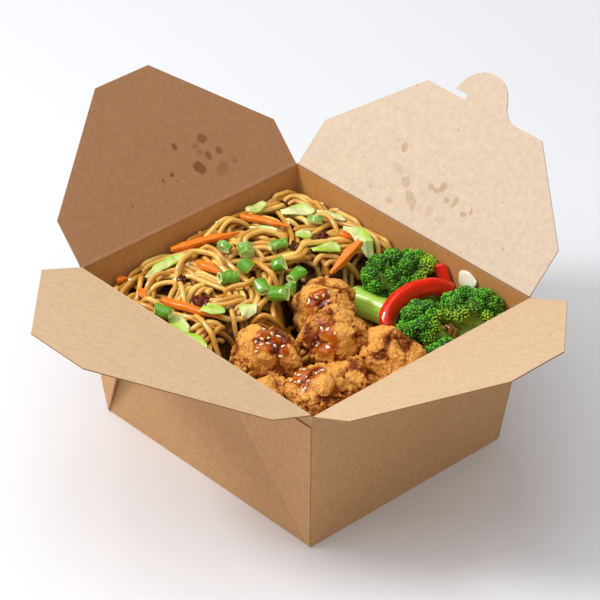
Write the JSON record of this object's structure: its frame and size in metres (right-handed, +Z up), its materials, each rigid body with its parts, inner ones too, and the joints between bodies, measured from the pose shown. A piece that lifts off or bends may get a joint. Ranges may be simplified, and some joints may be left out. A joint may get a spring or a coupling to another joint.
{
  "type": "takeaway noodle box",
  "caption": "Open folded kraft board takeaway box with flaps, filled with noodles, fried chicken, broccoli, carrot and scallion.",
  "frame": {"origin": "middle of the underside of the box", "axes": "+Z up out of the box, X across the two shorter walls' length, Y along the two longer walls"},
  "size_m": [0.2858, 0.286, 0.1457],
  "materials": {
    "tray": "matte kraft board",
    "flap_front_left": "matte kraft board",
    "flap_front_right": "matte kraft board",
    "flap_back_left": "matte kraft board",
    "flap_back_right": "matte kraft board",
    "noodles": "glossy cooked noodles",
    "chicken": "glazed fried crust",
    "broccoli": "satin cooked vegetable",
    "broccoli_stalk": "satin cooked vegetable",
    "pepper": "glossy skin",
    "onion": "glossy cooked onion",
    "carrot": "satin cooked vegetable",
    "cabbage": "satin cooked leaf",
    "scallion": "satin leaf"
  },
  "bodies": {
    "box": {"tray": "tray", "noodles": "noodles", "chicken_front": "chicken", "chicken_left": "chicken", "chicken_middle": "chicken", "chicken_back": "chicken", "chicken_right": "chicken", "chicken_low_left": "chicken", "chicken_low_front": "chicken", "broccoli_back": "broccoli", "broccoli_front": "broccoli", "broccoli_right": "broccoli", "broccoli_low": "broccoli", "broccoli_stalk": "broccoli_stalk", "pepper_curved": "pepper", "pepper_short": "pepper", "onion_slice": "onion", "carrot_1": "carrot", "carrot_2": "carrot", "carrot_3": "carrot", "carrot_4": "carrot", "carrot_5": "carrot", "carrot_6": "carrot", "carrot_7": "carrot", "carrot_8": "carrot", "cabbage_1": "cabbage", "cabbage_2": "cabbage", "cabbage_3": "cabbage", "cabbage_4": "cabbage", "cabbage_5": "cabbage", "cabbage_6": "cabbage", "cabbage_7": "cabbage", "cabbage_8": "cabbage", "cabbage_9": "cabbage", "cabbage_10": "cabbage", "cabbage_11": "cabbage", "cabbage_12": "cabbage", "scallion_1": "scallion", "scallion_2": "scallion", "scallion_3": "scallion", "scallion_4": "scallion", "scallion_5": "scallion", "scallion_6": "scallion", "scallion_7": "scallion", "scallion_8": "scallion", "scallion_9": "scallion", "scallion_10": "scallion", "scallion_11": "scallion", "scallion_12": "scallion"},
    "front_left_flap": {"flap_front_left": "flap_front_left"},
    "front_right_flap": {"flap_front_right": "flap_front_right"},
    "back_left_flap": {"flap_back_left": "flap_back_left"},
    "back_right_flap": {"flap_back_right": "flap_back_right"}
  },
  "joints": [
    {"name": "front_right_crease", "type": "hinge", "parent": "box", "child": "front_right_flap", "pos_m": [0, -0.08215, 0.0846], "axis": [1, 0, 0], "range_deg": [-156, 69]},
    {"name": "back_left_crease", "type": "hinge", "parent": "box", "child": "back_left_flap", "pos_m": [0, 0.08215, 0.0846], "axis": [-1, 0, 0], "range_deg": [-132.2, 92.8]},
    {"name": "back_right_crease", "type": "hinge", "parent": "box", "child": "back_right_flap", "pos_m": [0.07195, 0, 0.0855], "axis": [0, 1, 0], "range_deg": [-134.3, 89.2]},
    {"name": "front_left_crease", "type": "hinge", "parent": "box", "child": "front_left_flap", "pos_m": [-0.07195, 0, 0.0855], "axis": [0, -1, 0], "range_deg": [-158.7, 41.3]}
  ]
}
